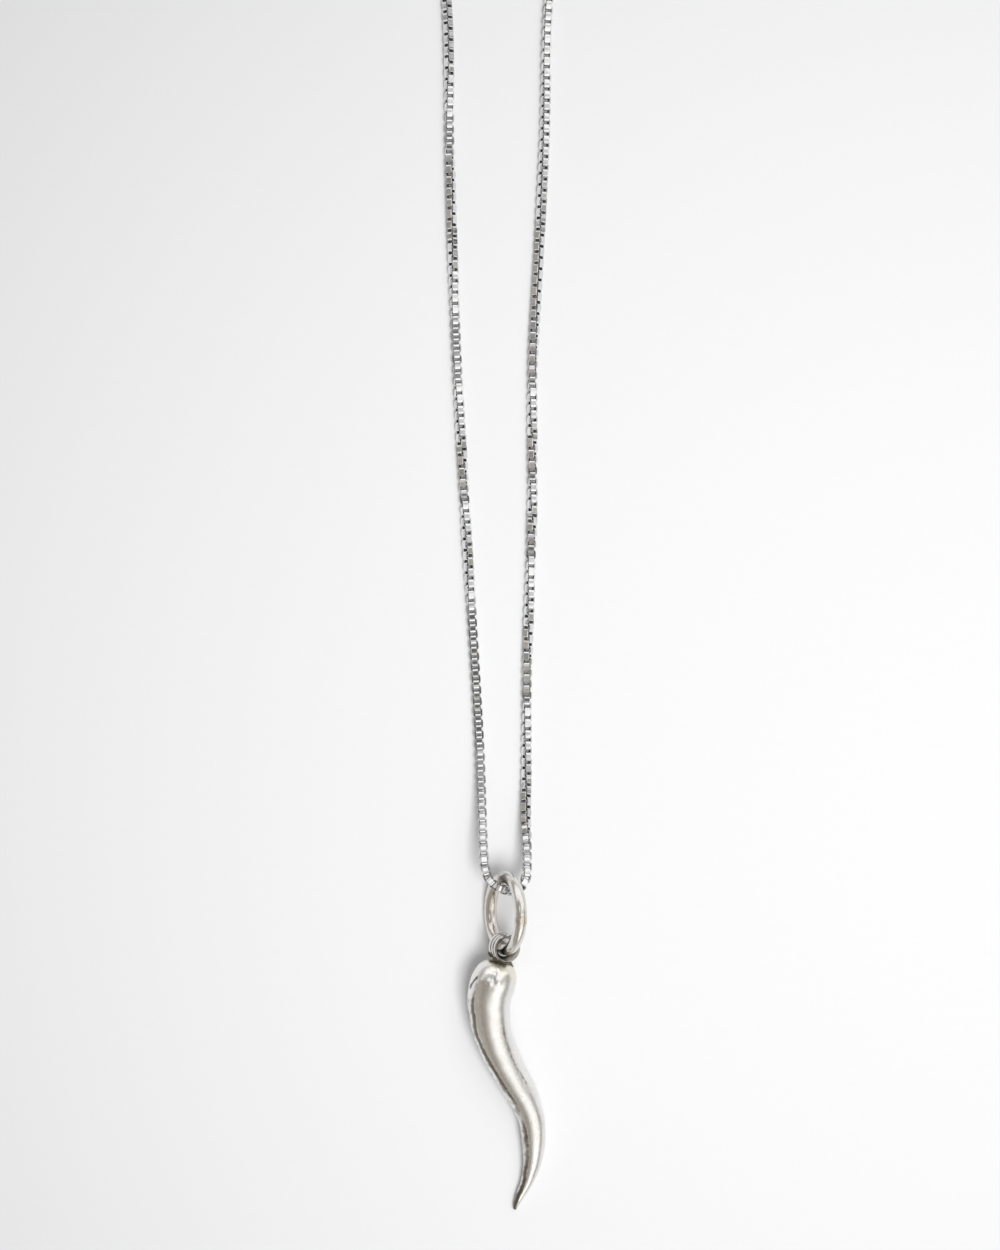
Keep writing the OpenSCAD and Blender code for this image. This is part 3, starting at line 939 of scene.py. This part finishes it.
def link_loop():
    """The points of one link: the strip's section swept round a square with rounded corners."""
    half_thick, half_strip = LINK_THICK / 2, LINK_STRIP / 2
    flat_thick, flat_strip = half_thick - LINK_BEVEL, half_strip - LINK_BEVEL
    section = [  # two points each of the outer face, an edge, the inner face and the other edge
        (half_thick, -flat_strip), (half_thick, flat_strip),
        (flat_thick, half_strip), (-flat_thick, half_strip),
        (-half_thick, flat_strip), (-half_thick, -flat_strip),
        (-flat_thick, -half_strip), (flat_thick, -half_strip),
    ]
    turn_r = LINK_CORNER - half_thick
    reach = LINK_LONG / 2 - LINK_CORNER
    side = CHAIN_W / 2 - LINK_CORNER
    rings = []
    for corner, (sx, sy) in enumerate(((1, 1), (-1, 1), (-1, -1), (1, -1))):
        for k in range(LINK_CORNER_STEPS + 1):
            out = round_out(math.pi / 2 * (corner + k / LINK_CORNER_STEPS))
            centre = Vector((sx * reach, sy * side, 0)) + out * turn_r
            onward = Vector((-out.y, out.x, 0)) * LINK_HOLD
            ring = [centre + out * u + Vector((0, 0, v)) for u, v in section]
            if k == 0:
                rings.append([point - onward for point in ring])
            rings.append(ring)
            if k == LINK_CORNER_STEPS:
                rings.append([point + onward for point in ring])
        if corner % 2 == 0:
            flat = 2 * (reach - LINK_HOLD)
            for k in range(1, LINK_BULGE_STEPS):
                t = k / LINK_BULGE_STEPS
                bulge = LINK_BULGE * math.sin(math.pi * t)
                centre = Vector((sx * flat * (0.5 - t), sy * (side + turn_r + bulge), 0))
                rings.append([centre + Vector((0, sy, 0)) * u + Vector((0, 0, v)) for u, v in section])
    return rings


def build_chain():
    """The box chain: links along the route, each turned a quarter from the one before it."""
    line = smooth_curve(route_points, ROUTE_STEPS, end_heading, end_heading)
    for p in line:
        p.z = max(p.z, CHAIN_W / 2)
    lengths = [0.0]
    for a, b in zip(line, line[1:]):
        lengths.append(lengths[-1] + (b - a).length)
    total = lengths[-1]
    count = round(total / LINK_PITCH)
    pitch = total / count
    loop = link_loop()
    bight = CROSSING * ROUTE_STEPS
    spot = 0
    shells = {name: Shell() for name in ("chain_left", "chain_bight", "chain_right")}
    for i in range(count):
        s = (i + 0.5) * pitch
        while lengths[spot + 1] < s:
            spot += 1
        t = (s - lengths[spot]) / (lengths[spot + 1] - lengths[spot])
        point = line[spot].lerp(line[spot + 1], t)
        before, after = max(spot - 1, 0), min(spot + 2, len(line) - 1)
        heading = (line[after] - line[before]).normalized()
        across = heading.cross(UP).normalized()
        up = across.cross(heading)
        down_left = spot < bight
        turn = -look_up(LEFT_TURNS, point.y) if down_left else look_up(RIGHT_TURNS, point.y)
        sway = noise.noise(Vector((s * SWAY_FINE, *SWAY_SEED))) * CHAIN_SWAY
        sway += rng.uniform(-LINK_ROLL, LINK_ROLL)
        turn = math.radians(turn + sway + 90 * (i % 2))
        lift = (CHAIN_W / 2 - LINK_CORNER) * (abs(math.cos(turn)) + abs(math.sin(turn)) - 1)
        wide = across * math.cos(turn) - up * math.sin(turn)
        strip = across * math.sin(turn) + up * math.cos(turn)
        nod = math.radians(rng.uniform(-LINK_NOD, LINK_NOD))
        along = heading * math.cos(nod) + strip * math.sin(nod)
        strip = strip * math.cos(nod) - heading * math.sin(nod)
        centre = point + Vector((0, 0, lift))
        if point.y <= BIGHT_FROM:
            shell = shells["chain_bight"]
        else:
            shell = shells["chain_left" if down_left else "chain_right"]
        rings = [[centre + along * p.x + strip * p.y + wide * p.z for p in ring] for ring in loop]
        before_count = len(shell.points)
        shell.sweep(rings, loop=True)
        tone = rng.uniform(0.0, LINK_TONE)
        darker = BIGHT_DARK * look_up(BIGHT_DARKENS, point.y)
        edge = LINK_EDGE_DARK + darker
        if abs(math.sin(turn)) > LINK_UPRIGHT:
            tone += darker
        # Painted shade on each link's inner face and edges
        section_marks = [tone, tone, edge, edge, LINK_INNER_DARK, LINK_INNER_DARK, edge, edge]
        shell.marks["shade_and_patina"][before_count:] = section_marks * len(rings)
    for name, shell in shells.items():
        shell.piece(name, chain_silver, "chain_silver", "chain", crisp=math.radians(LINK_CRISP))
    print("chain", round(total, 2), "links", count, "pitch", round(pitch, 4))


def lathe(shell, profile, place):
    """Sweeps round sections: each is a radius and a height up the place's own Z."""
    angles = [math.tau * k / LATHE_SIDES for k in range(LATHE_SIDES)]
    shell.sweep([[place @ Vector((r * math.cos(a), r * math.sin(a), z)) for a in angles] for r, z in profile])


def build_clasp():
    """The spring ring: a tube with a thinner gate, its knob, and the barrel at each end of the chain."""
    middle = Matrix.Translation((0, ROUTE[0][1], 0))
    clasp_r = (CLASP_D - CLASP_WIRE) / 2
    gate = Shell()
    rings = []
    for i in range(CLASP_TURNS):
        a = math.tau * i / CLASP_TURNS
        past_from = math.degrees(a) - GATE_FROM
        past_to = math.degrees(a) - GATE_TO
        thin = 0.5 * (math.tanh(past_from / GATE_SOFT) - math.tanh(past_to / GATE_SOFT))
        lips = ((past_from + LIP_OFF) / LIP_WIDE, (past_to - LIP_OFF) / LIP_WIDE)
        lip = min(1.0, sum(math.exp(-off ** 2) for off in lips))
        r = CLASP_WIRE / 2 * (TUBE_THICK - GATE_THIN * thin + LIP_HIGH * lip)
        out = round_out(a)
        ring = []
        for k in range(CLASP_SIDES):
            b = math.tau * k / CLASP_SIDES
            side = math.cos(b) * out + math.sin(b) * UP
            point = out * clasp_r + side * r
            point += side * uneven(point, *CLASP_UNEVEN)
            ring.append(middle @ (point + Vector((0, 0, CLASP_WIRE / 2))))
        rings.append(ring)
    gate.sweep(rings, loop=True)
    gate.piece("clasp_ring", clasp_silver, "clasp_silver", "clasp")

    knob = Shell()
    rise = clasp_r + CLASP_WIRE / 2
    round_z = rise + KNOB_H - KNOB_ROUND
    r = KNOB_D / 2
    place = middle @ Matrix.Translation((0, 0, CLASP_WIRE / 2))
    place = place @ Matrix.Rotation(math.radians(KNOB_TURN), 4, "Z") @ Matrix.Rotation(math.pi / 2, 4, "Y")
    profile = [(r * KNOB_NECK[0][0], rise - KNOB_SUNK)]
    profile += [(r * share, rise + up) for share, up in KNOB_NECK]
    profile.append((r, round_z))
    for k in range(1, KNOB_STEPS + 1):
        b = math.pi / 2 * k / KNOB_STEPS
        profile.append((r - KNOB_ROUND + KNOB_ROUND * math.cos(b), round_z + KNOB_ROUND * math.sin(b)))
    lathe(knob, profile, place)
    knob.piece("clasp_knob", clasp_silver, "clasp_silver", "clasp")

    barrels = Shell()
    start = clasp_r + BARREL_FROM
    end = abs(ROUTE[0][0]) - END_GAP
    r = CHAIN_W / 2
    profile = [(r * share, start + z) for share, z in BARREL_START]
    for groove in BARREL_GROOVES:
        profile += [(r * share, end + groove + z) for share, z in GROOVE_FORM]
    profile += [(r * share, end + z) for share, z in BARREL_END]
    for side in (-1, 1):
        place = middle @ Matrix.Translation((0, 0, r)) @ Matrix.Rotation(side * math.pi / 2, 4, "Y")
        lathe(barrels, profile, place)
    barrels.piece("clasp_barrels", clasp_silver, "clasp_silver", "clasp")


build_horn()
build_eye()
build_solder()
build_ring()
build_chain()
build_clasp()


def add_floor():
    """Plain pale paper, with painted shade: a little greyer away from its lit middle."""
    material = bpy.data.materials.new("paper")
    material.use_nodes = True
    n = Nodes(material.node_tree)
    place = n.new("ShaderNodeTexCoord").outputs["Object"]
    fibre = n.noise(place, *PAPER_FIBRE)
    colour = n.mix(fibre, PAPER[0], PAPER[1])
    middle = n.new("ShaderNodeMapping")
    shift = [-centre * MM / fade for centre, fade in zip(PAPER_MIDDLE, PAPER_FADE)]
    scale = [1 / fade for fade in PAPER_FADE]
    n.fill_all(middle, {"Vector": place, "Location": (*shift, 0), "Scale": (*scale, 1)})
    away = n.new("ShaderNodeVectorMath", operation="LENGTH")
    n.join(middle.outputs["Vector"], away.inputs[0])
    # Painted shade: the paper's colour darkens away from where the light is brightest
    squared = n.maths("POWER", away.outputs["Value"], 2)
    paper_shade = n.ramp(n.maths("MULTIPLY", squared, PAPER_SCALE), PAPER_SHADE)
    colour = n.mix(1, colour, paper_shade, "MULTIPLY")
    shader = n.new("ShaderNodeBsdfPrincipled")
    n.fill_all(shader, {
        "Base Color": colour, "Roughness": PAPER_ROUGH, "Specular IOR Level": PAPER_SHINE,
        "Normal": n.bump(PAPER_BUMP, PAPER_GRAIN, fibre),
    })
    n.join(shader.outputs["BSDF"], n.new("ShaderNodeOutputMaterial").inputs["Surface"])
    corners = [(x * FLOOR_HALF, y * FLOOR_HALF, 0) for x, y in ((-1, -1), (1, -1), (1, 1), (-1, 1))]
    mesh = bpy.data.meshes.new("floor")
    mesh.from_pydata(corners, [], [(0, 1, 2, 3)])
    mesh.materials.append(material)
    floor = add_object("floor", mesh)


def add_lights():
    """A wide soft light overhead, which the metal doesn't mirror: the sky is what it mirrors."""
    for name, place, (wide, long), power, colour in SOFT_LIGHTS:
        data = bpy.data.lights.new(name, "AREA")
        data.shape = "RECTANGLE"
        data.size = wide
        data.size_y = long
        data.energy = power
        data.color = colour
        light = add_object(name, data)
        light.location = place
        light.visible_glossy = False
        light.visible_camera = False


def bearing(n, side, up):
    """A direction's angle from straight up, as a share of the span of the sky's tables."""
    angle = n.maths("ARCTAN2", side, up)
    return n.maths("DIVIDE", n.maths("ADD", angle, math.radians(SKY_SPAN)), math.radians(2 * SKY_SPAN))


def span(n, share, stops):
    """A ramp over a bearing, from a table of angles in degrees."""
    return n.ramp(share, [((a + SKY_SPAN) / (2 * SKY_SPAN), c) for a, c in stops])


def add_sky():
    """The room round the table. Across: dim and brownish to the left, bright to the right. Up the picture: a
    dark band where someone leans over it, and bright beyond on both sides."""
    world = bpy.data.worlds.new("room")
    bpy.context.scene.world = world
    world.use_nodes = True
    n = Nodes(world.node_tree)
    direction = n.new("ShaderNodeTexCoord").outputs["Generated"]
    parts = n.new("ShaderNodeSeparateXYZ")
    n.join(direction, parts.inputs[0])
    x, y, z = parts.outputs
    across = bearing(n, x, z)
    along = bearing(n, y, z)
    sky = span(n, across, SKY_ACROSS)
    for colour, along_stops, across_stops in SKY_PATCHES:
        weight = n.maths("MULTIPLY", span(n, along, along_stops), span(n, across, across_stops))
        sky = n.mix(weight, sky, colour)
    low = n.maths("MULTIPLY", n.ramp(z, SKY_LOW_UP), span(n, across, SKY_LOW_ACROSS))
    sky = n.mix(low, sky, SKY_LOW)
    path = n.new("ShaderNodeLightPath")
    shown = n.mix(path.outputs["Is Glossy Ray"], span(n, across, SKY_SOFT), sky)
    shown = n.mix(path.outputs["Is Camera Ray"], shown, SKY_BEHIND)
    background = n.new("ShaderNodeBackground")
    n.fill_all(background, {"Color": shown, "Strength": 1})
    n.join(background.outputs["Background"], n.new("ShaderNodeOutputWorld").inputs["Surface"])
    world.cycles.sampling_method = "NONE"


add_floor()
add_lights()
add_sky()
bpy.context.scene.view_settings.view_transform = "Standard"
